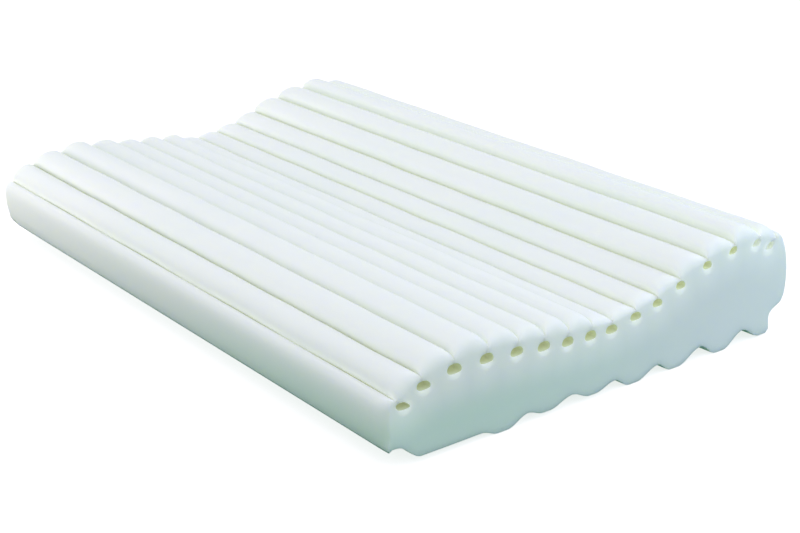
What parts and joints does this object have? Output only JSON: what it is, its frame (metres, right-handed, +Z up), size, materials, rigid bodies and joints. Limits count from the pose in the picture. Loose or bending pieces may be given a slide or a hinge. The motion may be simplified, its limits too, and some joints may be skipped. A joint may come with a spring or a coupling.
{
  "type": "memory foam pillow",
  "caption": "Contour pillow cut from bare white memory foam, with a high and a low lobe, a ribbed and slit top, vent channels along its whole length and a waved underside.",
  "frame": {"origin": "centre of the bounding box at its bottom, on the surface that the pillow lies on", "axes": "+X along the pillow from end to end, +Y from the low front lobe to the high back lobe, +Z up"},
  "size_m": [0.6, 0.4113, 0.0991],
  "materials": {
    "foam": "bare open-cell foam, matt, white with a faint cool tint, cream-green where light passes deep into slits and channels"
  },
  "bodies": {
    "root": {"foam_body": "foam"}
  },
  "joints": []
}
